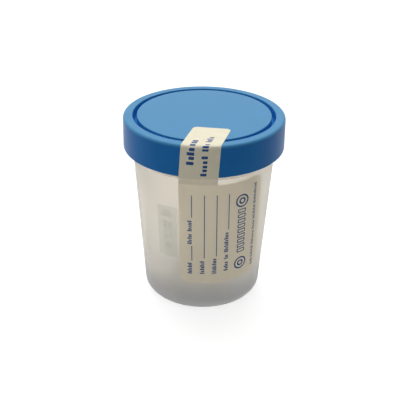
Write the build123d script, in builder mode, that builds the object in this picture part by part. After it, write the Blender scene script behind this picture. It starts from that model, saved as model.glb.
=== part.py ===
"""Specimen container: a tapered moulded cup, its screw lid with a hollow plug seal, and the paper
label whose strip runs up over the lid as a tamper seal.

Millimetres, +Z up. The origin is the centre of the foot that the cup stands on. The seal strip is
centred towards -Y, and azimuths are measured from there, positive towards +X.
"""

import os
from math import asin, atan, cos, degrees, radians, sin, tan

from build123d import *

# Cup
cup_height = 75.6  # foot to rim
mouth_diameter = 57.7  # inside the neck
foot_diameter = 48.3  # body's cone carried down to the table
wall = 0.95
floor_thickness = 1.3
foot_edge_radius = 3.4
foot_ring_width = 2.6  # flat ring that the cup stands on
foot_recess = 0.6  # how far the underside is raised inside the ring
floor_corner_radius = 3.0
neck_height = 13.0  # rim down to the stacking shoulder
shoulder_height = 1.0  # sloping part of the shoulder
shoulder_step = 1.55  # how far the neck stands out from the body
shoulder_low_radius = 0.4
shoulder_high_radius = 0.3
rim_radius = 0.42
panel_arc = 20.7  # degrees round the cup, for the raised panel that holds the volume marks
panel_label_gap = 0.27  # between the panel and the label's left edge, at the panel's foot
panel_foot = 24.5
panel_top = 48.3
panel_height = 0.14
panel_bury = 0.3  # how deep the panel reaches into the cup's wall
thread_start_gap = 3.6  # shoulder to the middle of the thread's lower end
thread_pitch = 4.0
thread_turns = 1.6
thread_height = 0.8
thread_root = 2.2  # width at the neck's surface
thread_crest = 0.9
thread_crest_radius = 0.3
thread_bury = 0.5  # how deep the thread's section reaches into the neck's wall

# Lid
skirt_height = 12.65  # whole height of the lid
skirt_wall = 1.2
skirt_draft = 0.14  # the skirt's foot stands out this far from its top
lid_top_thickness = 1.3
lid_edge_radius = 1.1
skirt_lip_radius = 0.2  # inside edge of the skirt's foot
corner_radius = 0.8  # inside corner of skirt and top
thread_clearance = 0.25  # cup's thread to the lid's bore
rim_gap = 0.1  # cup rim to the lid's underside
plug_clearance = 0.1  # plug to the inside of the neck
plug_depth = 3.2  # below the lid's underside
plug_wall = 0.6
plug_lead = 0.4  # inward taper of the plug's outside
plug_lead_height = 0.8
plug_lead_radius = 0.4
plug_tip_radius = 0.3
plug_root_radius = 0.4  # inside the plug, under the lid's plate
plug_seat_radius = 0.1  # outside the plug, where the cup's rim comes up
groove_width = 1.7  # of the ring groove in the lid's top, inside the plug
groove_floor_radius = 0.25
lip_radius = 0.2

# Paper label and seal
paper = 0.12
glue_line = 0.02
label_foot_gap = 14.2  # table to the label's lower edge
label_lid_gap = 4.65  # lid's lower edge to the label's upper edge
label_right_azimuth = 59.1
label_corner_radius = 3.8
strip_width = 14.7
strip_notch_radius = 2.0  # where the strip leaves the label's upper edge
strip_bend_radius = 2.0
strip_seat = 1.0  # upright length of the strip below the tear
tear_gap = 0.1  # between label and seal tab, at the lid's lower edge
outline_near = 19.2  # radius where the block that cuts the label's right edge starts
tab_shift = 0.7  # sideways, from the lid's foot to its top
tab_turn = 11.6  # degrees clockwise on the lid's top
tab_reach = 16.5  # from the lid's edge to the tab's end
tab_corner_radius = 1.5

# Heights and radii that follow
lid_underside = cup_height + rim_gap
lid_top = lid_underside + lid_top_thickness
lid_foot = lid_top - skirt_height
shoulder_top = cup_height - neck_height
shoulder_foot = shoulder_top - shoulder_height

mouth_radius = mouth_diameter / 2
neck_radius = mouth_radius + wall
body_radius = neck_radius - shoulder_step
foot_radius = foot_diameter / 2
taper = (body_radius - foot_radius) / shoulder_foot
inside_rise = wall * tan(atan(shoulder_step / shoulder_height) / 2)  # keeps the wall through the shoulder

skirt_bore = neck_radius + thread_height + thread_clearance
skirt_foot_radius = skirt_bore + skirt_wall
skirt_top_radius = skirt_foot_radius - skirt_draft
plug_radius = mouth_radius - plug_clearance
plug_foot = lid_underside - plug_depth
groove_outer = plug_radius - plug_wall
groove_inner = groove_outer - groove_width
groove_foot = plug_foot + plug_wall
plug_inner = groove_inner - plug_wall

label_foot = label_foot_gap
label_top = lid_foot - label_lid_gap
glued = glue_line + paper / 2  # from a surface to the middle of the paper on it


def body_radius_at(z):
    """Outside radius of the cup's cone at height z."""
    return foot_radius + taper * z


# Thread: a rounded ridge swept up a helix, trimmed at both ends by planes that touch the neck there
flank = (thread_root - thread_crest) / 2 / thread_height
thread_start = shoulder_top + thread_start_gap
with BuildPart() as thread:
    with BuildLine() as thread_run:
        Helix(thread_pitch, thread_pitch * thread_turns, neck_radius - thread_bury, (0, 0, thread_start))
    with BuildSketch(Plane(thread_run.line @ 0, x_dir=(1, 0, 0), z_dir=thread_run.line % 0)):
        with BuildLine():
            root = thread_root / 2 + thread_bury * flank
            FilletPolyline(
                (0, -root),
                (thread_bury + thread_height, -thread_crest / 2),
                (thread_bury + thread_height, thread_crest / 2),
                (0, root),
                radius=[0, thread_crest_radius, thread_crest_radius, 0],
                close=True,
            )
        make_face()
    sweep(is_frenet=True)
    for turns in (0, thread_turns):
        with Locations((0, 0, thread_start + thread_pitch * turns)):
            with PolarLocations(neck_radius, 1, start_angle=360 * turns):
                Box(
                    2 * thread_height,
                    neck_radius,
                    thread_pitch,
                    align=(Align.MIN, Align.CENTER, Align.CENTER),
                    mode=Mode.SUBTRACT,
                )

# Panel: a shell of the cone between two radial planes, with its outer face square to the wall
panel_right = degrees(asin((strip_width / 2 + panel_label_gap) / body_radius_at(panel_foot)))
with BuildPart() as panel:
    with BuildSketch(Plane.XZ):
        with BuildLine():
            Polyline(
                (body_radius_at(panel_foot) - panel_bury, panel_foot),
                (body_radius_at(panel_foot) + panel_height, panel_foot),
                (body_radius_at(panel_top) + panel_height, panel_top),
                (body_radius_at(panel_top) - panel_bury, panel_top),
                close=True,
            )
        make_face()
    revolve(axis=Axis.Z, revolution_arc=panel_arc)

# Cup: one revolved wall, from the recessed underside up the cone, over the shoulder to the rim
with BuildPart() as cup:
    with BuildSketch(Plane.XZ):
        with BuildLine():
            ring_outer = foot_radius - foot_edge_radius
            ring_inner = ring_outer - foot_ring_width
            inside_floor = foot_recess + floor_thickness
            FilletPolyline(
                (0, foot_recess),
                (ring_inner - foot_recess, foot_recess),
                (ring_inner, 0),
                (foot_radius, 0),
                (body_radius, shoulder_foot),
                (neck_radius, shoulder_top),
                (neck_radius, cup_height),
                (mouth_radius, cup_height),
                (mouth_radius, shoulder_top + inside_rise),
                (body_radius - wall, shoulder_foot + inside_rise),
                (body_radius_at(inside_floor) - wall, inside_floor),
                (0, inside_floor),
                radius=[
                    0,
                    0,
                    0,
                    foot_edge_radius,
                    shoulder_low_radius,
                    shoulder_high_radius,
                    rim_radius,
                    rim_radius,
                    shoulder_high_radius,
                    shoulder_low_radius,
                    floor_corner_radius,
                    0,
                ],
                close=True,
            )
        make_face()
    revolve(axis=Axis.Z)
    add(thread.part)
    add(panel.part.rotate(Axis.Z, -90 - panel_right - panel_arc))
cup.part.label = "cup"

# Lid: plate and skirt, with a ring groove in the top whose walls hang below it as a hollow plug
with BuildPart() as lid:
    with BuildSketch(Plane.XZ):
        with BuildLine():
            FilletPolyline(
                (0, lid_underside),
                (plug_inner, lid_underside),
                (plug_inner, plug_foot),
                (plug_radius - plug_lead, plug_foot),
                (plug_radius, plug_foot + plug_lead_height),
                (plug_radius, lid_underside),
                (skirt_bore, lid_underside),
                (skirt_bore, lid_foot),
                (skirt_foot_radius, lid_foot),
                (skirt_top_radius, lid_top),
                (groove_outer, lid_top),
                (groove_outer, groove_foot),
                (groove_inner, groove_foot),
                (groove_inner, lid_top),
                (0, lid_top),
                radius=[
                    0,
                    plug_root_radius,
                    plug_tip_radius,
                    plug_tip_radius,
                    plug_lead_radius,
                    plug_seat_radius,
                    corner_radius,
                    skirt_lip_radius,
                    lip_radius,
                    lid_edge_radius,
                    lip_radius,
                    groove_floor_radius,
                    groove_floor_radius,
                    lip_radius,
                    0,
                ],
                close=True,
            )
        make_face()
    revolve(axis=Axis.Z)
lid.part.label = "lid"

# Outline that the label is cut to: the field's sector, with the strip's band standing on its upper edge.
# The sides of a flat sheet stay parallel, so on the cone the far side leans from the cone's own line.
far = 2 * skirt_foot_radius
right_edge = radians(label_right_azimuth)
half_angle = atan(taper)
label_middle = (label_foot + label_top) / 2
near = outline_near * cos(right_edge)  # the outline block stops short of the cup's axis
lean = right_edge * sin(half_angle)
right_plane = Plane(
    origin=(
        body_radius_at(label_middle) * sin(right_edge),
        -body_radius_at(label_middle) * cos(right_edge),
        label_middle,
    ),
    x_dir=(sin(right_edge), -cos(right_edge), 0),
    z_dir=(cos(lean) * cos(right_edge), cos(lean) * sin(right_edge), sin(lean)),
)
with BuildPart() as label_outline:
    with BuildSketch(Plane.XY.offset(label_foot)):
        with Locations((-strip_width / 2, -near)):
            Rectangle(far, far, align=(Align.MIN, Align.MAX))
    extrude(amount=label_top - label_foot)
    split(bisect_by=right_plane, keep=Keep.BOTTOM)
    with BuildSketch(Plane.XY.offset(label_top)):
        with Locations((0, -near)):
            Rectangle(strip_width, far, align=(Align.CENTER, Align.MAX))
    extrude(amount=lid_foot - tear_gap - label_top)
    levels = label_outline.edges().filter_by(Plane.XY).group_by(Axis.Z)
    at_foot = levels[0].sort_by(Axis.X)
    at_top = levels[1].sort_by(Axis.X)
    notch = at_top.filter_by(Axis.Y)
    fillet([at_foot[0], at_foot[-1], at_top[-1]], label_corner_radius)
    fillet(notch, strip_notch_radius)

# Label: one sheet on the cup's cone, with the strip bridging out to the lid's lower edge
with BuildPart() as label:
    with BuildSketch(Plane.XZ):
        with BuildLine():
            FilletPolyline(
                (body_radius_at(0) + glued, 0),
                (body_radius_at(label_top) + glued, label_top),
                (skirt_foot_radius + glued, lid_foot - tear_gap - strip_seat),
                (skirt_foot_radius + glued, lid_foot),
                radius=strip_bend_radius,
            )
        trace(line_width=paper)
    revolve(axis=Axis.Z)
    add(label_outline.part, mode=Mode.INTERSECT)
label.part.label = "label"

# Seal tab: the same strip beyond the tear line, up the skirt, over the lid's edge and across the groove
turn = radians(tab_turn)
fold_y = -(skirt_top_radius**2 - (strip_width / 2) ** 2) ** 0.5
tab_left = (tab_shift - strip_width / 2, fold_y)
tab_right = (tab_shift + strip_width / 2, fold_y)
left_reach = tab_reach + strip_width / 2 * sin(turn)
right_reach = tab_reach - strip_width / 2 * sin(turn)
with BuildPart() as tab_plan:
    with BuildSketch(Plane.XY.offset(lid_top)):
        with BuildLine():
            FilletPolyline(
                (tab_left[0], -far),
                tab_left,
                (tab_left[0] + left_reach * sin(turn), fold_y + left_reach * cos(turn)),
                (tab_right[0] + right_reach * sin(turn), fold_y + right_reach * cos(turn)),
                tab_right,
                (tab_right[0], -far),
                radius=[0, 0, tab_corner_radius, tab_corner_radius, 0, 0],
                close=True,
            )
        make_face()
    extrude(amount=2 * skirt_height, dir=(tab_shift, 0, skirt_height), both=True)

with BuildPart() as seal_tab:
    with BuildSketch(Plane.XZ):
        with BuildLine():
            FilletPolyline(
                (skirt_foot_radius + glued, lid_foot),
                (skirt_top_radius + glued, lid_top + glued),
                (0, lid_top + glued),
                radius=lid_edge_radius + glued,
            )
        trace(line_width=paper)
    revolve(axis=Axis.Z)
    add(tab_plan.part, mode=Mode.INTERSECT)
seal_tab.part.label = "seal_tab"

os.makedirs("parts", exist_ok=True)
export_step(cup.part, "parts/cup.step")
export_step(lid.part, "parts/lid.step")
export_step(label.part, "parts/label.step")
export_step(seal_tab.part, "parts/seal_tab.step")
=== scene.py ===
import bmesh
import bpy
import numpy as np
from mathutils import Matrix, Vector
from mathutils.geometry import delaunay_2d_cdt


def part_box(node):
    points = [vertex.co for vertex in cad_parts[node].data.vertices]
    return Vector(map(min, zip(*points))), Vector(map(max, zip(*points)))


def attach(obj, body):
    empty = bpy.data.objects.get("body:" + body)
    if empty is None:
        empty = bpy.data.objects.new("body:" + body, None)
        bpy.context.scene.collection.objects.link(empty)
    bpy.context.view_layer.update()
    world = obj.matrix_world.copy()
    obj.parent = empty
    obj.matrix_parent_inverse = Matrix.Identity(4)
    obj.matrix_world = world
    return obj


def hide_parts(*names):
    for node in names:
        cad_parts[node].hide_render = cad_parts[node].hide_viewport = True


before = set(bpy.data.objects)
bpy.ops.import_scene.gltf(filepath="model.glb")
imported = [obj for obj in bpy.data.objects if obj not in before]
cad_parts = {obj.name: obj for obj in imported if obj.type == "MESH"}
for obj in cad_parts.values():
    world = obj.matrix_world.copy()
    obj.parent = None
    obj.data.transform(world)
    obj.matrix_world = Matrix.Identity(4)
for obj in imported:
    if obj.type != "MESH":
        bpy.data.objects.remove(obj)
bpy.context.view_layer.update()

# A specimen container: milky cup, blue screw lid, paper label with its seal strip.
# Lengths below are millimetres, angles degrees. Azimuth 0 is towards -Y, positive towards +X.
metre = 1000.0  # millimetres in one
nearWall = 0.01  # a point this close to a wall counts as on it
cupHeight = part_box("cup")[1].z * metre
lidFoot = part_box("lid")[0].z * metre
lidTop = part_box("lid")[1].z * metre
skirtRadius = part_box("lid")[1].x * metre
print("frame loaded, lid from", round(lidFoot, 2), "to", round(lidTop, 2))


# Corners rounded by arcs: centre = corner + bisector * r / sin(half angle),
# points = centre + (sin((1-w)q) start + sin(wq) end) / sin q, with q the arc's angle
def roundedRun(corners, radii, closed=False, steps=7):
    corners = np.array(corners, float)
    run = []
    for i, (corner, radius) in enumerate(zip(corners, radii)):
        inner = closed or 0 < i < len(corners) - 1
        if radius == 0 or not inner:
            run.append(corner[None])
            continue
        a = corners[i - 1] - corner
        b = corners[(i + 1) % len(corners)] - corner
        a, b = a / np.linalg.norm(a), b / np.linalg.norm(b)
        half = np.arccos(np.clip(a @ b, -1, 1)) / 2
        centre = corner + (a + b) / np.linalg.norm(a + b) * radius / np.sin(half)
        start = corner + a * radius / np.tan(half) - centre
        end = corner + b * radius / np.tan(half) - centre
        q = np.pi - 2 * half
        w = np.linspace(0, 1, steps)[:, None]
        run.append(centre + (np.sin((1 - w) * q) * start + np.sin(w * q) * end) / np.sin(q))
    return np.concatenate(run)


# A line with no gap longer than spacing: each side divided evenly
def divided(path, spacing, closed=False):
    path = np.vstack([path, path[:1]]) if closed else np.asarray(path, float)
    parts = []
    for a, b in zip(path[:-1], path[1:]):
        count = max(1, int(np.ceil(np.linalg.norm(b - a) / spacing)))
        parts.append(a + (b - a) * np.arange(count)[:, None] / count)
    return np.concatenate(parts if closed else parts + [path[-1:]])


# Smooth step from 0 to 1: 3w^2 - 2w^3
def eased(w):
    w = np.clip(w, 0, 1)
    return w * w * (3 - 2 * w)


# Volume inside closed triangles: the sum of (a x b) . c / 6, negative when they face inwards
def signedVolume(points, triangles):
    a, b, c = (points[triangles[:, k]] for k in range(3))
    return np.einsum("ij,ij->i", np.cross(a, b), c).sum() / 6


# A smooth-shaded object at the origin, from points in millimetres
def newPiece(name, points, faces, material):
    mesh = bpy.data.meshes.new(name)
    mesh.from_pydata((points / metre).tolist(), [], [list(f) for f in faces])
    mesh.materials.append(material)
    mesh.polygons.foreach_set("use_smooth", np.ones(len(mesh.polygons), bool))
    mesh.update()
    piece = bpy.data.objects.new(name, mesh)
    bpy.context.scene.collection.objects.link(piece)
    return piece


# A profile (r, z) turned about Z: at azimuth a it lies at (r' sin a, -r' cos a, z), where
# r' = r + relief(a, r, z). The profile starts and ends on the axis, and each end is one point.
def turnedPiece(name, profile, azimuths, material, relief):
    a = np.radians(azimuths)[None, :]
    r = profile[1:-1, 0][:, None]
    z = profile[1:-1, 1][:, None] + 0 * a
    r = r + relief(a, r, z)
    ring = np.stack([r * np.sin(a), -r * np.cos(a), z], axis=-1).reshape(-1, 3)
    rows, columns = z.shape
    pole = rows * columns
    poles = np.array([[0, 0, profile[0, 1]], [0, 0, profile[-1, 1]]])
    points = np.vstack([ring, poles])
    index = np.arange(pole).reshape(rows, columns)
    beside = np.roll(index, -1, axis=1)
    quads = np.stack([index[:-1], beside[:-1], beside[1:], index[1:]], axis=-1).reshape(-1, 4)
    first = np.stack([beside[0], index[0], np.full(columns, pole)], axis=-1)
    last = np.stack([index[-1], beside[-1], np.full(columns, pole + 1)], axis=-1)
    triangles = np.vstack([quads[:, [0, 1, 2]], quads[:, [0, 2, 3]], first, last])
    faces = quads.tolist() + first.tolist() + last.tolist()
    if signedVolume(points, triangles) < 0:
        faces = [f[::-1] for f in faces]
    return newPiece(name, points, faces, material)


# Rows for the mesh: the profile divided finely where it runs along the wall that has a screw ridge,
# and coarsely elsewhere
def meshRows(profile, ridgedRadius, sizes):
    onWall = np.abs(profile[:, 0] - ridgedRadius) < nearWall
    parts = []
    for a, b, ridged in zip(profile[:-1], profile[1:], onWall[:-1] & onWall[1:]):
        spacing = sizes["threadRowSpacing"] if ridged else sizes["rowSpacing"]
        parts.append(divided([a, b], spacing)[:-1])
    return np.concatenate(parts + [profile[-1:]])


# Puts share(azimuth, radius, height), from 0 to 1, at each of the piece's points
def holdShare(piece, name, share):
    points = np.empty(len(piece.data.vertices) * 3)
    piece.data.vertices.foreach_get("co", points)
    x, y, z = points.reshape(-1, 3).T * metre
    values = piece.data.attributes.new(name, "FLOAT", "POINT")
    found = share(np.arctan2(x, -y) % (2 * np.pi), np.hypot(x, y), z)
    values.data.foreach_set("value", found.astype(np.float32))


# Height of a screw ridge above its wall: a trapezoid across the helix z = start + pitch * turns,
# root wide at the wall and crest wide at its height, capped by planes that touch the wall at both
# ends, height <= wallRadius * (1 / cos(angle past the end) - 1)
def screwRidge(a, z, ridge, wallRadius):
    total = np.zeros(np.broadcast(a, z).shape)
    slope = ridge["height"] * 2 / (ridge["root"] - ridge["crest"])
    startAngle = np.radians(ridge["startAzimuth"])
    for lap in range(int(np.ceil(ridge["turns"])) + 1):
        along = (a - startAngle) % (2 * np.pi) + lap * 2 * np.pi
        middle = ridge["start"] + ridge["pitch"] * along / (2 * np.pi)
        across = (ridge["root"] / 2 - np.abs(z - middle)) * slope
        ends = np.minimum(along, ridge["turns"] * 2 * np.pi - along)
        pastEnd = np.clip(ends, 0, 1.2)  # further on, the planes are far above the ridge
        runOut = wallRadius * (1 / np.cos(pastEnd) - 1)
        height = np.minimum(np.minimum(across, ridge["height"]), runOut)
        total = np.maximum(total, height * (ends > 0))
    return total


# A new material, its node tree and its main shader
def nodeMaterial(name):
    material = bpy.data.materials.new(name)
    material.use_nodes = True
    shader = material.node_tree.nodes["Principled BSDF"]
    return material, material.node_tree, shader


# A node whose inputs and settings are given by name
def newNode(tree, kind, **values):
    node = tree.nodes.new(kind)
    for key, value in values.items():
        if key in node.inputs:
            node.inputs[key].default_value = value
        else:
            setattr(node, key, value)
    return node


# Noise over the piece's own coordinates: millimetres between blotches, drawn out upwards by stretch
def patternNoise(tree, size, stretch=1.0, detail=3.0):
    coordinates = newNode(tree, "ShaderNodeTexCoord")
    mapping = newNode(tree, "ShaderNodeMapping")
    mapping.inputs["Scale"].default_value = (metre / size, metre / size, metre / size / stretch)
    noise = newNode(tree, "ShaderNodeTexNoise", Scale=1.0, Detail=detail)
    tree.links.new(coordinates.outputs["Object"], mapping.inputs["Vector"])
    tree.links.new(mapping.outputs["Vector"], noise.inputs["Vector"])
    return noise.outputs["Fac"]


# A value carried from one range to another and held at the ends. Noise lies mostly in 0.3 to 0.7.
def ranged(tree, value, low, high, fromLow=0.3, fromHigh=0.7):
    node = newNode(tree, "ShaderNodeMapRange")
    node.inputs["From Min"].default_value = fromLow
    node.inputs["From Max"].default_value = fromHigh
    node.inputs["To Min"].default_value = low
    node.inputs["To Max"].default_value = high
    tree.links.new(value, node.inputs["Value"])
    return node.outputs["Result"]


# A colour between two, each of which is a fixed colour or another node's output
def blended(tree, factor, first, second, way="MIX"):
    node = newNode(tree, "ShaderNodeMix", data_type="RGBA", blend_type=way)
    factorSocket, firstSocket, secondSocket = node.inputs[0], node.inputs[6], node.inputs[7]
    for socket, value in ((factorSocket, factor), (firstSocket, first), (secondSocket, second)):
        if isinstance(value, bpy.types.NodeSocket):
            tree.links.new(value, socket)
        else:
            socket.default_value = value if socket is factorSocket else (*value, 1)
    return node.outputs[2]


# One colour times another
def multiplied(tree, first, second):
    return blended(tree, 1.0, first, second, "MULTIPLY")


# The larger of two values
def larger(tree, first, second):
    node = newNode(tree, "ShaderNodeMath", operation="MAXIMUM")
    tree.links.new(first, node.inputs[0])
    tree.links.new(second, node.inputs[1])
    return node.outputs[0]


# 0 below the low height, 1 above the high one, by the piece's own Z
def heightShare(tree, low, high):
    coordinates = newNode(tree, "ShaderNodeTexCoord")
    place = newNode(tree, "ShaderNodeSeparateXYZ")
    tree.links.new(coordinates.outputs["Object"], place.inputs["Vector"])
    return ranged(tree, place.outputs["Z"], 0, 1, low / metre, high / metre)


# A value that the mesh holds at its points
def meshValue(tree, name):
    return newNode(tree, "ShaderNodeAttribute", attribute_name=name).outputs["Fac"]


# A fine grain in the shading alone, its depth in millimetres
def addBump(tree, shader, value, depth):
    bump = newNode(tree, "ShaderNodeBump", Strength=1.0, Distance=depth / metre)
    tree.links.new(value, bump.inputs["Height"])
    tree.links.new(bump.outputs["Normal"], shader.inputs["Normal"])


cupFinish = {
    "colour": (0.955, 0.915, 0.84),
    "colourThin": (0.975, 0.945, 0.88),
    # Painted shade: the foot's colour is darkened, as a share of the wall's, for the shade of the table
    # under the cup that shows through it
    "footPaintedShade": (0.72, 0.75, 0.81),  # the thick foot's colour as a share of the wall's
    "footHeight": (4.0, 14.0),  # where one passes into the other
    # Painted shade: the panel's colour is darkened, as a share of the wall's, for the thicker wall there
    # letting less light through
    "panelPaintedShade": (0.78, 0.805, 0.79),  # the same for the etched panel
    "roughness": (0.5, 0.6),
    "refraction": 1.49,
    "transmission": 0.95,
    "markTransmission": 0.2,  # the panel's numbers are whiter and less clear than the wall
    "flowMark": 14.0,  # size of the faint cloudiness
    "flowStretch": 2.2,
    "grain": 0.35,
    "grainDepth": 0.004,
}


# Frosted see-through plastic, faintly cloudy, with painted shade darkening the foot and the panel
def makeCupPlastic(name, transmission):
    f = cupFinish
    material, tree, shader = nodeMaterial(name)
    cloud = patternNoise(tree, f["flowMark"], f["flowStretch"])
    colour = blended(tree, ranged(tree, cloud, 0, 1), f["colour"], f["colourThin"])
    # painted shade, darker towards the foot
    foot = blended(tree, heightShare(tree, *f["footHeight"]), f["footPaintedShade"], (1, 1, 1))
    # painted shade on the panel's face
    field = blended(tree, meshValue(tree, "panelShare"), (1, 1, 1), f["panelPaintedShade"])
    colour = multiplied(tree, multiplied(tree, colour, foot), field)
    tree.links.new(colour, shader.inputs["Base Color"])
    tree.links.new(ranged(tree, cloud, *f["roughness"]), shader.inputs["Roughness"])
    shader.inputs["Transmission Weight"].default_value = transmission
    shader.inputs["IOR"].default_value = f["refraction"]
    addBump(tree, shader, patternNoise(tree, f["grain"]), f["grainDepth"])
    return material


lidFinish = {
    "colour": (0.002, 0.140, 0.430),
    "colourPale": (0.006, 0.160, 0.475),
    # Painted sheen: the top's colours are painted lighter and paler for the sky's reflection and the
    # stronger light from above, rather than from handling
    "colourTopSheen": (0.056, 0.254, 0.480),  # the top is a little chalky from handling
    "colourTopSheenPale": (0.066, 0.270, 0.505),
    "topSheenHeight": (75.6, 76.8),  # where one passes into the other
    "colourGroove": (0.022, 0.268, 0.68),  # where light comes through the thin walls of the groove
    "gloss": 0.15,
    "roughness": (0.30, 0.42),
    "blotch": 9.0,
    "blotchStretch": 1.6,
    "blotchDetail": 8.0,
    "grain": 0.5,
    "grainDepth": 0.006,
}


# Satin plastic, mottled, with painted sheen lightening the top and painted light brightening the groove
def makeLidPlastic():
    f = lidFinish
    material, tree, shader = nodeMaterial("lidPlastic")
    blotch = patternNoise(tree, f["blotch"], f["blotchStretch"], f["blotchDetail"])
    share = ranged(tree, blotch, 0, 1)
    side = blended(tree, share, f["colour"], f["colourPale"])
    # painted sheen on the top
    top = blended(tree, share, f["colourTopSheen"], f["colourTopSheenPale"])
    colour = blended(tree, heightShare(tree, *f["topSheenHeight"]), side, top)
    colour = blended(tree, meshValue(tree, "grooveShare"), colour, f["colourGroove"])
    tree.links.new(colour, shader.inputs["Base Color"])
    tree.links.new(ranged(tree, blotch, *f["roughness"]), shader.inputs["Roughness"])
    shader.inputs["Specular IOR Level"].default_value = f["gloss"]
    addBump(tree, shader, patternNoise(tree, f["grain"]), f["grainDepth"])
    return material


paperFinish = {
    "colour": (0.80, 0.745, 0.575),
    "colourPale": (0.85, 0.795, 0.625),
    "roughness": (0.62, 0.75),
    "gloss": 0.3,
    "through": 0.0,  # share of the light that passes
    "mottle": 3.2,
    "mottleDetail": 5.0,
    "fibre": 0.28,
    "fibreStretch": 2.5,
    "fibreDetail": 4.0,
    "fibreDepth": 0.012,
}
# Painted light: this copy of the paper is painted lighter for the cup's bright wall behind it, and part
# of the light also passes through it
backlit = {  # the same paper where the cup's bright wall shows through it
    "colour": (0.97, 0.90, 0.745),
    "colourPale": (0.99, 0.93, 0.785),
    "roughness": (0.35, 0.45),
    "through": 0.55,
}


# Mottled paper with a fibrous grain; change holds what differs from the plain sheet
def makePaper(name, change):
    f = {**paperFinish, **change}
    material, tree, shader = nodeMaterial(name)
    shader.inputs["Transmission Weight"].default_value = f["through"]
    mottle = patternNoise(tree, f["mottle"], detail=f["mottleDetail"])
    colour = blended(tree, ranged(tree, mottle, 0, 1), f["colour"], f["colourPale"])
    tree.links.new(colour, shader.inputs["Base Color"])
    tree.links.new(ranged(tree, mottle, *f["roughness"]), shader.inputs["Roughness"])
    shader.inputs["Specular IOR Level"].default_value = f["gloss"]
    fibre = patternNoise(tree, f["fibre"], f["fibreStretch"], f["fibreDetail"])
    addBump(tree, shader, fibre, f["fibreDepth"])
    return material


inkFinish = {
    "colour": (0.006, 0.050, 0.190),
    "colourThin": (0.030, 0.110, 0.290),
    "roughness": 0.5,
    "gloss": 0.3,
    "starve": 0.7,  # size of the paler spots in the print
    "starveDetail": 2.0,
    "starveRange": (0.4, 0.75),  # noise at which they start and are full
}


# Printing ink with paler spots where it is thin
def makeInk():
    f = inkFinish
    material, tree, shader = nodeMaterial("labelInk")
    starve = patternNoise(tree, f["starve"], detail=f["starveDetail"])
    share = ranged(tree, starve, 0, 1, *f["starveRange"])
    colour = blended(tree, share, f["colour"], f["colourThin"])
    tree.links.new(colour, shader.inputs["Base Color"])
    shader.inputs["Roughness"].default_value = f["roughness"]
    shader.inputs["Specular IOR Level"].default_value = f["gloss"]
    return material


cupPlastic = makeCupPlastic("cupPlastic", cupFinish["transmission"])
markPlastic = makeCupPlastic("markPlastic", cupFinish["markTransmission"])
lidPlastic = makeLidPlastic()
labelPaper = makePaper("labelPaper", backlit)
sealPaper = makePaper("sealPaper", {})
labelInk = makeInk()
print("materials made")


cup = {
    "mouthRadius": 28.85,
    "wall": 0.95,
    "footRadius": 24.15,  # the cone carried down to the table
    "footEdge": 3.4,
    "ringWidth": 2.6,  # flat ring that the cup stands on
    "ringCorner": 0.3,
    "recess": 0.6,  # of the underside inside the ring
    "recessCorner": 0.4,
    "floor": 1.3,
    "floorCorner": 3.0,
    "neck": 13.0,  # rim down to the shoulder
    "shoulder": 1.0,
    "shoulderLow": 0.4,
    "shoulderHigh": 0.3,
    "step": 1.55,  # how far the neck stands out from the body
    "rim": 0.42,
    "rowSpacing": 0.55,
    "threadRowSpacing": 0.16,
    "columnStep": 1.2,
    "panelColumnStep": 0.45,
}
neckRadius = cup["mouthRadius"] + cup["wall"]
bodyRadius = neckRadius - cup["step"]
shoulderTop = cupHeight - cup["neck"]
shoulderFoot = shoulderTop - cup["shoulder"]
taper = (bodyRadius - cup["footRadius"]) / shoulderFoot
insideFloor = cup["recess"] + cup["floor"]
insideRise = cup["wall"] * np.tan(np.arctan2(cup["step"], cup["shoulder"]) / 2)

cupThread = {
    "startAzimuth": 90.0,
    "start": shoulderTop + 3.6,  # middle of the ridge's lower end
    "pitch": 4.0,
    "turns": 1.6,
    "height": 0.8,
    "root": 2.2,
    "crest": 0.9,
}

panel = {  # moulded field with the volume marks, beside the label
    "left": -37.9,
    "right": -17.2,
    "foot": 24.5,
    "top": 48.3,
    "height": 0.14,
    "edge": 0.5,
    "margin": 1.0,  # degrees of fine columns past each side
}


# Cone's radius at a height: footRadius + taper * z
def coneRadius(z):
    return cup["footRadius"] + taper * z


# Panel's height: a flat field whose four sides are eased over the edge width
def panelRelief(a, r, z):
    side = panel["edge"] / coneRadius(z)  # the edge's width as an angle
    left = eased((a - np.radians(panel["left"] % 360)) / side)
    right = eased((np.radians(panel["right"] % 360) - a) / side)
    foot = eased((z - panel["foot"]) / panel["edge"])
    top = eased((panel["top"] - z) / panel["edge"])
    return panel["height"] * np.minimum(left, right) * np.minimum(foot, top)


# Screw ridge on the neck's outside plus the panel on the cone's outside
def cupRelief(a, r, z):
    onNeck = np.abs(r - neckRadius) < nearWall
    onCone = np.abs(r - coneRadius(z)) < nearWall
    return onNeck * screwRidge(a, z, cupThread, neckRadius) + onCone * panelRelief(a, r, z)


# 1 on the panel's face, 0 off it, by its relief; only on the cup's outside
def panelShare(a, r, z):
    return panelRelief(a, r, z) / panel["height"] * (r > coneRadius(z) - nearWall)


# Section (r, z, corner radius): the underside, out over the ring, up the cone and over the shoulder
# to the rim, then back down inside, a wall's thickness in, to the floor's middle
def cupProfile():
    ringOuter = cup["footRadius"] - cup["footEdge"]
    ringInner = ringOuter - cup["ringWidth"]
    corners = np.array([
        (0, cup["recess"], 0),
        (ringInner - cup["recess"], cup["recess"], cup["recessCorner"]),
        (ringInner, 0, cup["ringCorner"]),
        (cup["footRadius"], 0, cup["footEdge"]),
        (bodyRadius, shoulderFoot, cup["shoulderLow"]),
        (neckRadius, shoulderTop, cup["shoulderHigh"]),
        (neckRadius, cupHeight, cup["rim"]),
        (cup["mouthRadius"], cupHeight, cup["rim"]),
        (cup["mouthRadius"], shoulderTop + insideRise, cup["shoulderHigh"]),
        (bodyRadius - cup["wall"], shoulderFoot + insideRise, cup["shoulderLow"]),
        (coneRadius(insideFloor) - cup["wall"], insideFloor, cup["floorCorner"]),
        (0, insideFloor, 0),
    ])
    return roundedRun(corners[:, :2], corners[:, 2])


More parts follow.
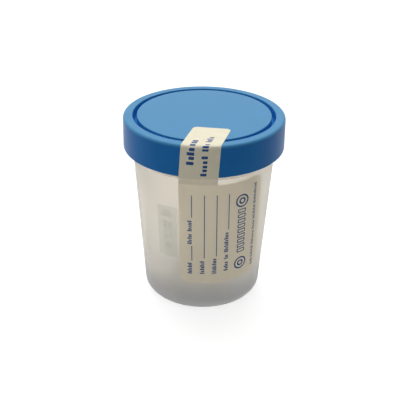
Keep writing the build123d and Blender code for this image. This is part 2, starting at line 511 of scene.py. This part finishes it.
panelStart = panel["left"] % 360 - panel["margin"]
panelEnd = panel["right"] % 360 + panel["margin"]
lastColumn = panelStart + 360 - cup["columnStep"] / 4
cupAzimuths = np.concatenate([
    np.arange(panelStart, panelEnd, cup["panelColumnStep"]) % 360,
    np.arange(panelEnd, lastColumn, cup["columnStep"]) % 360,
])
cupRows = meshRows(cupProfile(), neckRadius, cup)
cupBody = turnedPiece("cup_body", cupRows, cupAzimuths, cupPlastic, cupRelief)
holdShare(cupBody, "panelShare", panelShare)
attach(cupBody, "cup")
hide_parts("cup")
print("cup made,", len(cupBody.data.polygons), "faces")


marks = {  # millilitres and the height that each level stands at
    "levels": {"50": 29.6, "60": 34.5, "70": 39.5, "80": 44.7},
    "azimuth": -27.5,
    "size": 4.3,
    "height": 0.07,
    "sunk": 0.05,  # below the panel's face
    "curveSteps": 3,
}


# A flat number (x, y, d) set on the panel: azimuth = middle + x / radius, z = level + y, with d the
# distance out from the panel's face
def makeNumber(text, level):
    curve = bpy.data.curves.new("number", "FONT")
    curve.body = text
    curve.size = marks["size"]
    curve.align_x, curve.align_y = "CENTER", "CENTER"
    curve.resolution_u = marks["curveSteps"]
    curve.extrude = (marks["height"] + marks["sunk"]) / 2
    holder = bpy.data.objects.new("number", curve)
    flat = bpy.data.meshes.new_from_object(holder)
    build = bmesh.new()
    build.from_mesh(flat)
    bmesh.ops.remove_doubles(build, verts=build.verts, dist=1e-4)
    bmesh.ops.recalc_face_normals(build, faces=build.faces)
    build.to_mesh(flat)
    build.free()
    points = np.empty(len(flat.vertices) * 3)
    flat.vertices.foreach_get("co", points)
    x, y, d = points.reshape(-1, 3).T
    face = coneRadius(level + y) + panel["height"]
    a = np.radians(marks["azimuth"]) + x / face
    r = face + d + (marks["height"] - marks["sunk"]) / 2
    placed = np.stack([r * np.sin(a), -r * np.cos(a), level + y], axis=-1) / metre
    flat.vertices.foreach_set("co", placed.ravel())
    flat.materials.append(markPlastic)
    bpy.data.objects.remove(holder)
    number = bpy.data.objects.new("number_" + text, flat)
    bpy.context.scene.collection.objects.link(number)
    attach(number, "cup")


for text, level in marks["levels"].items():
    makeNumber(text, level)
print("volume marks made")


lid = {
    "skirtWall": 1.2,
    "draft": 0.14,  # the skirt's foot stands out this far from its top
    "plate": 1.3,
    "edge": 1.1,
    "plugRadius": 28.75,
    "plugDepth": 3.2,
    "plugWall": 0.6,
    "plugLead": 0.4,  # inward taper of the plug's tip
    "plugLeadHeight": 0.8,
    "plugLeadRadius": 0.4,
    "plugTip": 0.3,
    "plugRoot": 0.4,
    "plugSeat": 0.1,
    "grooveWidth": 1.7,
    "grooveCorner": 0.25,
    "grooveFade": 0.8,  # depth over which the groove's colour comes in
    "lip": 0.2,
    "footLip": 0.45,
    "corner": 0.8,
    "rowSpacing": 0.6,
    "threadRowSpacing": 0.16,
    "columns": 300,
}
skirtBore = skirtRadius - lid["skirtWall"]
skirtTopRadius = skirtRadius - lid["draft"]
lidUnder = lidTop - lid["plate"]
plugFoot = lidUnder - lid["plugDepth"]
grooveOuter = lid["plugRadius"] - lid["plugWall"]
grooveInner = grooveOuter - lid["grooveWidth"]
grooveFoot = plugFoot + lid["plugWall"]
plugInner = grooveInner - lid["plugWall"]

lidThread = {  # its ridge runs below the cup's, clear of it all the way when the lid is on
    "startAzimuth": 240.0,
    "below": 1.7,  # from the middle of the cup's ridge down to the middle of this one
    "pitch": cupThread["pitch"],
    "turns": 1.25,
    "height": 0.75,
    "root": 2.0,
    "crest": 0.8,
}
threadTurn = (lidThread["startAzimuth"] - cupThread["startAzimuth"]) / 360
lidThread["start"] = cupThread["start"] - lidThread["below"] + lidThread["pitch"] * threadTurn


# Section (r, z, corner radius): under the plate, round the plug, up to the plate and down the bore,
# round the skirt to the top, down one groove wall and up the other, to the top's middle
def lidProfile():
    corners = np.array([
        (0, lidUnder, 0),
        (plugInner, lidUnder, lid["plugRoot"]),
        (plugInner, plugFoot, lid["plugTip"]),
        (lid["plugRadius"] - lid["plugLead"], plugFoot, lid["plugTip"]),
        (lid["plugRadius"], plugFoot + lid["plugLeadHeight"], lid["plugLeadRadius"]),
        (lid["plugRadius"], lidUnder, lid["plugSeat"]),
        (skirtBore, lidUnder, lid["corner"]),
        (skirtBore, lidFoot, lid["lip"]),
        (skirtRadius, lidFoot, lid["footLip"]),
        (skirtTopRadius, lidTop, lid["edge"]),
        (grooveOuter, lidTop, lid["lip"]),
        (grooveOuter, grooveFoot, lid["grooveCorner"]),
        (grooveInner, grooveFoot, lid["grooveCorner"]),
        (grooveInner, lidTop, lid["lip"]),
        (0, lidTop, 0),
    ])
    return roundedRun(corners[:, :2], corners[:, 2])


# Screw ridge standing inwards from the bore
def lidRelief(a, r, z):
    onBore = np.abs(r - skirtBore) < nearWall
    return -1.0 * onBore * screwRidge(a, z, lidThread, skirtBore)


# 1 on the groove's floor and walls, passing to 0 over the last depth below the lid's top
def grooveShare(a, r, z):
    margin = lid["lip"] / 2
    inGroove = (r > grooveInner - margin) & (r < grooveOuter + margin) & (z > grooveFoot - margin)
    return inGroove * np.clip((lidTop - z) / lid["grooveFade"], 0, 1)


lidAzimuths = np.arange(lid["columns"]) * 360 / lid["columns"]
lidRows = meshRows(lidProfile(), skirtBore, lid)
lidBody = turnedPiece("lid_body", lidRows, lidAzimuths, lidPlastic, lidRelief)
holdShare(lidBody, "grooveShare", grooveShare)
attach(lidBody, "lid")
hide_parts("lid")
print("lid made,", len(lidBody.data.polygons), "faces")


paper = {
    "thickness": 0.11,
    "lift": 0.075,  # surface to the middle of the paper on it
    "meshSpacing": 0.9,
    "meshSway": 0.25,  # share of the spacing that the mesh's columns sway by
    "sharpAngle": 40.0,  # above this the shading breaks, so that the paper's rim stays crisp
    "stripWidth": 14.7,
    "tearDrop": 0.35,  # from the lid's foot down to the middle of the torn edge
    "tearDepth": 0.12,
    "tearGap": 0.03,
    "tearPoints": 90,
}
word = {
    "weight": 0.66,  # ink's share of the step from bar to bar
    "shortBar": 0.72,  # share of the full height
    "tallAbove": 0.5,  # sine above which a bar is tall
    "start": 0.18,  # of a bar in its step
    "sway": 0.08,
    "corner": 0.2,  # share of a bar's smaller side
    "cornerSteps": 4,
}


# A closed outline for a bar from start to end, width wide, with round corners
def barShape(start, end, width):
    start, end = np.array(start, float), np.array(end, float)
    length = np.linalg.norm(end - start)
    along = (end - start) / length
    side = np.array([-along[1], along[0]]) * width / 2
    corner = word["corner"] * min(width, length)
    outline = [start - side, end - side, end + side, start + side]
    return roundedRun(outline, [corner] * 4, closed=True, steps=word["cornerSteps"])


# A closed ring of points: centre + radius * (cos w, sin w)
def circleShape(centre, radius, count=28):
    w = np.arange(count) / count * 2 * np.pi
    return np.array(centre) + radius * np.stack([np.cos(w), np.sin(w)], axis=-1)


# Row of plain bars that stands for a printed word: it runs up the sheet from start to end, each bar
# across it from the line u = foot. Heights and widths follow fixed sines, so the rows differ.
def wordMarks(foot, start, end, pitch, height, seed, weight=word["weight"]):
    count = max(2, int(round((end - start) / pitch)))
    step = (end - start) / count
    bars = []
    for i in range(count):
        turn = np.sin(seed * 2.3 + i * 2.9)
        tall = height * (1.0 if i == 0 or turn > word["tallAbove"] else word["shortBar"])
        low = start + step * (i + word["start"] + word["sway"] * np.sin(seed + i * 1.7))
        bars.append(("ink", barShape((foot, low), (foot - tall, low), weight * step)))
    return bars


# Flat triangles inside the outline, with the print's outlines as edges of the mesh. The last shape
# that a triangle lies in says whether it is ink.
def cutSheet(outline, shapes, spacing):
    outline = divided(outline, spacing, closed=True)
    low, high = outline.min(0), outline.max(0)
    u, v = (np.arange(low[k] + spacing / 2, high[k], spacing) for k in (0, 1))
    inside = np.stack(np.meshgrid(u, v), axis=-1).reshape(-1, 2)
    inside[:, 0] += paper["meshSway"] * spacing * np.sin(inside[:, 1] * 7.1)
    rings = [outline] + [divided(shape, spacing, closed=True) for _, shape in shapes]
    starts = np.cumsum([0] + [len(ring) for ring in rings])
    loops = [list(range(a, b)) for a, b in zip(starts[:-1], starts[1:])]
    flat = np.vstack(rings + [inside])
    insideOnly = 1  # keep only the triangles that lie in a loop
    made = delaunay_2d_cdt([Vector(p) for p in flat], [], loops, insideOnly, 1e-5)
    points, faces, loopsOfFace = made[0], made[2], made[5]
    inked = [bool(o) and max(o) > 0 and shapes[max(o) - 1][0] == "ink" for o in loopsOfFace]
    return np.array([tuple(p) for p in points]), [list(f) for f in faces], np.array(inked)


# The sheet's thickness goes half to each side of its middle, and its back and rim are plain paper
def sheetPiece(name, points, faces, inked, plain):
    piece = newPiece(name, points, faces, plain)
    piece.data.materials.append(labelInk)
    piece.data.polygons.foreach_set("material_index", inked.astype(np.int32))
    solid = piece.modifiers.new("thickness", "SOLIDIFY")
    solid.thickness = paper["thickness"] / metre
    solid.offset = 0
    solid.material_offset = -1
    solid.material_offset_rim = -1
    bpy.context.view_layer.update()
    finished = piece.evaluated_get(bpy.context.evaluated_depsgraph_get())
    whole = bpy.data.meshes.new_from_object(finished)
    piece.modifiers.clear()
    piece.data = whole
    piece.data.set_sharp_from_angle(angle=np.radians(paper["sharpAngle"]))
    return piece


# Ragged line where the strip tears along the lid's foot, at place s across it:
# depth * (sin 5.3 s + 0.6 sin(11.9 s + 1)) / 1.6
def tearLine(s):
    return paper["tearDepth"] * (np.sin(s * 5.3) + 0.6 * np.sin(s * 11.9 + 1)) / 1.6


label = {
    "axis": -5.65,  # azimuth of the cone's line that the print's first rule follows
    "left": -5.1,  # edges of the flat sheet
    "right": 30.0,
    "foot": 13.9,
    "top": 59.35,
    "corner": 3.8,
    "notch": 2.0,
    "bridge": 6.35,  # length of the strip between cup and lid
    "leavePull": 3.4,  # how far the strip keeps to the cone's line, and then to the skirt's
    "arrivePull": 4.4,
    "ruleWidth": 0.32,
    "rules": [0.0, 4.9, 9.7, 14.5],  # places across the sheet of the lines to write on
    "blanks": [  # the rule that each line lies on, and its start and end up the sheet
        (0, 25.0, 32.1), (0, 45.2, 55.1), (1, 26.3, 55.3), (2, 26.9, 55.1), (3, 38.9, 54.9),
    ],
    "words": [  # the same for each word
        (0, 18.6, 24.2), (0, 32.9, 37.9), (0, 39.0, 44.2), (1, 18.9, 25.2),
        (2, 18.7, 26.2), (3, 19.3, 23.8), (3, 25.0, 27.2), (3, 28.3, 37.9),
    ],
    "wordHeight": 1.75,
    "wordPitch": 0.85,
    "signPlace": 20.2,  # across the sheet, for the signs and frames
    "signs": (20.9, 50.5),  # their middles up the sheet
    "signRings": [("ink", 2.9), ("paper", 2.26), ("ink", 1.45), ("paper", 0.81)],
    "frames": (26.0, 47.1),  # the row's ends up the sheet
    "frameCount": 9,
    "frameWidth": 3.6,
    "frameLine": 0.42,
    "frameGap": 0.12,  # share of the step left free at each side
    "smallPlace": 27.2,
    "smallStart": 17.0,
    "smallWords": [3.4, 5.6, 7.2, 4.4, 6.8, 9.8],  # their lengths
    "smallGap": 0.5,
    "smallHeight": 1.45,
    "smallPitch": 0.75,
    "smallWeight": 0.55,
}


# Cone's flat sheet: slant = hypot(u, v + slant0), turn = atan2(u, v + slant0) / sin(half angle)
def onCone(u, v, lift):
    half = np.arctan(taper)
    slantStart = cup["footRadius"] / np.sin(half)
    slant = np.hypot(u, v + slantStart)
    a = np.radians(label["axis"]) + np.arctan2(u, v + slantStart) / np.sin(half)
    r = slant * np.sin(half) + lift * np.cos(half)
    z = (slant - slantStart) * np.cos(half) - lift * np.sin(half)
    return np.stack([r * np.sin(a), -r * np.cos(a), z], axis=-1)


# Above the label's top the strip leaves the cone and runs to the lid's foot on a cubic:
# p = h00 p0 + h10 t0 + h01 p1 + h11 t1, along the cone at its start and up the skirt at its end
def onLabel(points):
    u, v = points[:, 0], points[:, 1]
    stripMiddle = label["left"] + paper["stripWidth"] / 2
    base = onCone(u, np.minimum(v, label["top"]), paper["lift"])
    below = onCone(u, np.minimum(v, label["top"]) - 1, paper["lift"])
    w = np.clip((v - label["top"]) / label["bridge"], 0, 1)[:, None]
    past = (v - label["top"] - label["bridge"]).clip(0)
    r = skirtRadius + paper["lift"]
    a = (u - stripMiddle) / r
    end = np.stack([r * np.sin(a), -r * np.cos(a), np.full_like(a, lidFoot - paper["tearDrop"])], axis=-1)
    startPull = (base - below) * label["leavePull"]
    endPull = np.array([0, 0, label["arrivePull"]])
    bridge = (
        (2 * w**3 - 3 * w**2 + 1) * base + (w**3 - 2 * w**2 + w) * startPull
        + (3 * w**2 - 2 * w**3) * end + (w**3 - w**2) * endPull
    )
    bridge[:, 2] += past
    return np.where(w > 0, bridge, base)


# Blank lines and word bars along the rules, two ringed signs with a row of empty frames between
# them, and a row of small bars
def labelPrint():
    rules = label["rules"]
    shapes = [
        ("ink", barShape((rules[rule], low), (rules[rule], top), label["ruleWidth"]))
        for rule, low, top in label["blanks"]
    ]
    for seed, (rule, low, top) in enumerate(label["words"]):
        shapes += wordMarks(rules[rule], low, top, label["wordPitch"], label["wordHeight"], seed + 1)
    place = label["signPlace"]
    for middle in label["signs"]:
        shapes += [(kind, circleShape((place, middle), radius)) for kind, radius in label["signRings"]]
    step = (label["frames"][1] - label["frames"][0]) / label["frameCount"]
    line = label["frameLine"]
    for i in range(label["frameCount"]):
        low = label["frames"][0] + step * (i + label["frameGap"])
        high = low + step * (1 - 2 * label["frameGap"])
        shapes.append(("ink", barShape((place, low), (place, high), label["frameWidth"])))
        hollow = barShape((place, low + line), (place, high - line), label["frameWidth"] - 2 * line)
        shapes.append(("paper", hollow))
    low = label["smallStart"]
    height, pitch, weight = label["smallHeight"], label["smallPitch"], label["smallWeight"]
    for i, length in enumerate(label["smallWords"]):
        shapes += wordMarks(label["smallPlace"], low, low + length, pitch, height, i + 11, weight)
        low += length + label["smallGap"]
    return shapes


# The flat sheet with its strip, cut to a round-cornered outline whose strip ends in the torn line
def makeLabel():
    stripRight = label["left"] + paper["stripWidth"]
    tear = label["top"] + label["bridge"]
    body = roundedRun(
        [
            (label["left"], tear),
            (label["left"], label["foot"]),
            (label["right"], label["foot"]),
            (label["right"], label["top"]),
            (stripRight, label["top"]),
            (stripRight, tear),
        ],
        [0, label["corner"], label["corner"], label["corner"], label["notch"], 0],
    )
    across = np.linspace(stripRight, label["left"], paper["tearPoints"])[1:-1]
    tearEdge = np.stack([across, tear + tearLine(across - label["left"])], axis=-1)
    outline = np.vstack([body, tearEdge])
    points, faces, inked = cutSheet(outline, labelPrint(), paper["meshSpacing"])
    return sheetPiece("label_sheet", onLabel(points), faces, inked, labelPaper)


labelSheet = makeLabel()
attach(labelSheet, "cup")
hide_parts("label")
print("label made,", len(labelSheet.data.polygons), "faces")


tab = {
    "shift": 0.7,  # sideways, from the lid's foot to its top
    "turn": 11.6,  # clockwise on the lid's top
    "leftReach": 18.4,  # length of each side past the rim
    "rightReach": 17.1,
    "squared": 10.0,  # length on the top over which the rim's curve goes out of the strip's lines
    "leftCorner": 1.5,
    "rightCorner": 2.2,
    "edgeSteps": 24,
    "sag": 0.06,  # into the groove that it crosses
    "words": [  # place across, start and end up the strip, pitch and height of the bars, ink's share
        (-2.1, 5.6, 18.6, 1.95, 2.8, 0.7),
        (2.9, 1.1, 9.6, 1.6, 2.3, 0.66),
        (2.9, 10.9, 15.0, 1.4, 2.3, 0.66),
        (2.9, 16.3, 21.4, 1.4, 2.3, 0.66),
    ],
}


# Up the skirt by azimuth = (s + shift) / r, over the edge's arc, then along the direction d turned
# from +Y: xy = rim(s) + d * length, with the arc's way in divided by cos(azimuth + turn). The rim's
# bow, r * (1 - cos azimuth), is taken off further in, so that the strip ends square, and over the
# groove it sags by sag * exp(-(2 * distance / width)^2).
def onLid(points):
    s, t = points[:, 0], points[:, 1]
    lift = paper["lift"]
    section = roundedRun(
        [(skirtRadius + lift, lidFoot), (skirtTopRadius + lift, lidTop + lift), (0, lidTop + lift)],
        [0, lid["edge"] + lift, 0], steps=tab["edgeSteps"],
    )
    length = np.concatenate([[0], np.cumsum(np.linalg.norm(np.diff(section, axis=0), axis=1))])
    r, z = (np.interp(t, length, section[:, k]) for k in (0, 1))
    arcStart, arcEnd = length[1], length[-2]
    rimRadius = section[1, 0]
    lean = tab["shift"] * np.clip(t / arcStart, 0, 1)
    a = (s + lean) / rimRadius
    turn = np.radians(tab["turn"])
    inward = rimRadius - np.interp(np.clip(t, arcStart, arcEnd), length, section[:, 0])
    bow = rimRadius * (1 - np.cos(a)) * np.clip((t - arcEnd) / tab["squared"], 0, 1)
    reach = inward / np.cos(a + turn) + (t - arcEnd).clip(0) - bow
    base = np.maximum(r, rimRadius)
    x = base * np.sin(a) + reach * np.sin(turn)
    y = -base * np.cos(a) + reach * np.cos(turn)
    middle = (grooveOuter + grooveInner) / 2
    sag = tab["sag"] * np.exp(-(((np.hypot(x, y) - middle) / lid["grooveWidth"] * 2) ** 2)) * (t > arcEnd)
    return np.stack([x, y, z - sag], axis=-1)


# Two lines of word bars up the strip
def tabPrint():
    shapes = []
    for seed, (place, low, top, pitch, height, share) in enumerate(tab["words"]):
        shapes += wordMarks(place, low, top, pitch, height, seed + 6, share)
    return shapes


# The flat strip past the tear, from a torn line that follows the label's to a round-cornered end
def makeTab():
    half = paper["stripWidth"] / 2
    quarter = np.pi / 2 * lid["edge"]
    rim = lidTop - lidFoot + quarter - 2 * lid["edge"]  # up the skirt and round, less the edge's way in
    body = roundedRun(
        [(half, 0), (half, rim + tab["rightReach"]), (-half, rim + tab["leftReach"]), (-half, 0)],
        [0, tab["rightCorner"], tab["leftCorner"], 0],
    )
    across = np.linspace(-half, half, paper["tearPoints"])[1:-1]
    foot = paper["tearGap"] - paper["tearDrop"]
    tearEdge = np.stack([across, foot + tearLine(across + half)], axis=-1)
    body[[0, -1], 1] = foot
    outline = np.vstack([body, tearEdge])
    points, faces, inked = cutSheet(outline, tabPrint(), paper["meshSpacing"])
    flat = points.copy()
    flat[:, 1] = flat[:, 1].clip(0)
    placed = onLid(flat)
    placed[:, 2] += points[:, 1].clip(None, 0)
    return sheetPiece("seal_strip", placed, faces, inked, sealPaper)


sealStrip = makeTab()
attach(sealStrip, "lid")
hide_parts("seal_tab")
print("seal strip made,", len(sealStrip.data.polygons), "faces")


stage = {
    "floorRadius": 6.0,  # metres
    "floorSides": 64,
    "floorRoughness": 0.9,
    "floorSeen": 0.45,  # floor's colour to the camera
    "floorGlow": 0.72,  # white added to the camera
    "floorThrough": (0.72, 0.26),  # colour and added white through the cup and in its gloss
    "floorBounce": (0.25, 0.7),  # colour for the light that it throws back, from front to back
    "floorReach": (0.06, 0.13),  # metres behind the cup where it has those two levels
    "floorTurn": 15.0,  # degrees to the left of straight behind, for its brightest part
    "nearBounce": 0.95,  # the white sheet that the cup stands on
    "nearReach": (0.075, 0.105),  # metres from the middle where that sheet ends
    "skyBack": 1.25,  # strength of its light from behind, and from in front
    "skyFront": 0.41,
    "skyReach": (-0.4, 0.8),  # places from front to back where the sky has those two levels
    "skyTurn": 45.0,  # degrees to the left of straight behind, for its brightest part
    "sunHeight": 64.0,  # degrees above the floor, from behind
    "sunSide": -10.0,  # degrees to the right of straight behind
    "sunSize": 50.0,  # degrees across
    "sunPower": 1.65,
}


# How far a place or direction lies behind the cup: its product with the unit vector there, turned
# to the left by so many degrees
def alongBack(tree, output, degrees):
    turn = np.radians(degrees)
    place = newNode(tree, "ShaderNodeTexCoord")
    share = newNode(tree, "ShaderNodeVectorMath", operation="DOT_PRODUCT")
    share.inputs[1].default_value = (-np.sin(turn), np.cos(turn), 0)
    tree.links.new(place.outputs[output], share.inputs[0])
    return share.outputs["Value"]


# 1 on the camera's rays and on those that gloss and clear plastic pass on, 0 on all others
def seenShare(tree):
    ray = newNode(tree, "ShaderNodeLightPath")
    through = larger(tree, ray.outputs["Is Glossy Ray"], ray.outputs["Is Transmission Ray"])
    return larger(tree, ray.outputs["Is Camera Ray"], through)


# The first shader where the share is 0, the second where it is 1
def mixedShader(tree, share, first, second):
    mix = newNode(tree, "ShaderNodeMixShader")
    for socket, output in zip(mix.inputs, (share, first.outputs[0], second.outputs[0])):
        tree.links.new(output, socket)
    return mix.outputs[0]


# A flat disc, its rim at radius * (cos a, sin a). It is bright where it is seen. Where it only throws
# light back it is darker in front, and a white sheet lies near the cup.
def makeFloor():
    a = np.arange(stage["floorSides"]) / stage["floorSides"] * 2 * np.pi
    ring = np.stack([np.cos(a), np.sin(a), 0 * a], axis=-1) * stage["floorRadius"] * metre
    material, tree, shader = nodeMaterial("floorPaper")
    shader.inputs["Specular IOR Level"].default_value = 0.0
    behind = alongBack(tree, "Object", stage["floorTurn"])
    table = ranged(tree, behind, *stage["floorBounce"], *stage["floorReach"])
    place = newNode(tree, "ShaderNodeTexCoord")
    distance = newNode(tree, "ShaderNodeVectorMath", operation="LENGTH")
    tree.links.new(place.outputs["Object"], distance.inputs[0])
    near = ranged(tree, distance.outputs["Value"], stage["nearBounce"], 0, *stage["nearReach"])
    tree.links.new(larger(tree, table, near), shader.inputs["Base Color"])
    seen = newNode(tree, "ShaderNodeBsdfPrincipled", Roughness=stage["floorRoughness"])
    seen.inputs["Specular IOR Level"].default_value = 0.0
    seen.inputs["Emission Color"].default_value = (1, 1, 1, 1)
    surface = mixedShader(tree, seenShare(tree), shader, seen)
    tree.links.new(surface, tree.nodes["Material Output"].inputs["Surface"])
    colourThrough, glowThrough = stage["floorThrough"]
    toCamera = newNode(tree, "ShaderNodeLightPath").outputs["Is Camera Ray"]
    white = blended(tree, toCamera, [colourThrough] * 3, [stage["floorSeen"]] * 3)
    tree.links.new(white, seen.inputs["Base Color"])
    glow = ranged(tree, toCamera, glowThrough, stage["floorGlow"], 0, 1)
    tree.links.new(glow, seen.inputs["Emission Strength"])
    floor = newPiece("floor", ring, [list(range(len(ring)))], material)


# Sky by direction, from front to back; the camera sees plain white, and so do gloss and clear plastic
def makeSky():
    world = bpy.data.worlds.new("sky")
    bpy.context.scene.world = world
    world.use_nodes = True
    tree = world.node_tree
    tree.nodes.clear()
    behind = alongBack(tree, "Generated", stage["skyTurn"])
    level = ranged(tree, behind, stage["skyFront"], stage["skyBack"], *stage["skyReach"])
    light = newNode(tree, "ShaderNodeBackground")
    tree.links.new(level, light.inputs["Strength"])
    plain = newNode(tree, "ShaderNodeBackground", Strength=1.0)
    plain.inputs["Color"].default_value = (1, 1, 1, 1)
    out = newNode(tree, "ShaderNodeOutputWorld")
    tree.links.new(mixedShader(tree, seenShare(tree), light, plain), out.inputs["Surface"])


# Wide soft light from behind and above: (cos high * sin side, cos high * cos side, sin high)
def makeSun():
    sun = bpy.data.lights.new("sun", "SUN")
    sun.angle = np.radians(stage["sunSize"])
    sun.energy = stage["sunPower"]
    holder = bpy.data.objects.new("sun", sun)
    bpy.context.scene.collection.objects.link(holder)
    high, side = np.radians(stage["sunHeight"]), np.radians(stage["sunSide"])
    towards = Vector((np.cos(high) * np.sin(side), np.cos(high) * np.cos(side), np.sin(high)))
    holder.rotation_euler = towards.to_track_quat("Z", "Y").to_euler()


view = {
    "place": (16.67, -284.94, 190.85),
    "aim": (-1.26, -0.07, 38.41),
    "roll": 0.748,
    "lens": 70.0,
    "sensor": 36.0,
    "clip": (0.01, 50.0),  # metres
}


# Camera that looks from its place to its aim, rolled about that line
def makeCamera():
    data = bpy.data.cameras.new("camera")
    data.lens = view["lens"]
    data.sensor_width = view["sensor"]
    data.clip_start, data.clip_end = view["clip"]
    camera = bpy.data.objects.new("camera", data)
    bpy.context.scene.collection.objects.link(camera)
    place = Vector(view["place"]) / metre
    turned = (Vector(view["aim"]) / metre - place).to_track_quat("-Z", "Y").to_matrix()
    rolled = turned @ Matrix.Rotation(np.radians(view["roll"]), 3, "Z")
    camera.matrix_world = Matrix.Translation(place) @ rolled.to_4x4()
    bpy.context.scene.camera = camera


makeFloor()
makeSky()
makeSun()
makeCamera()
bpy.context.scene.view_settings.view_transform = "Standard"
print("stage made")
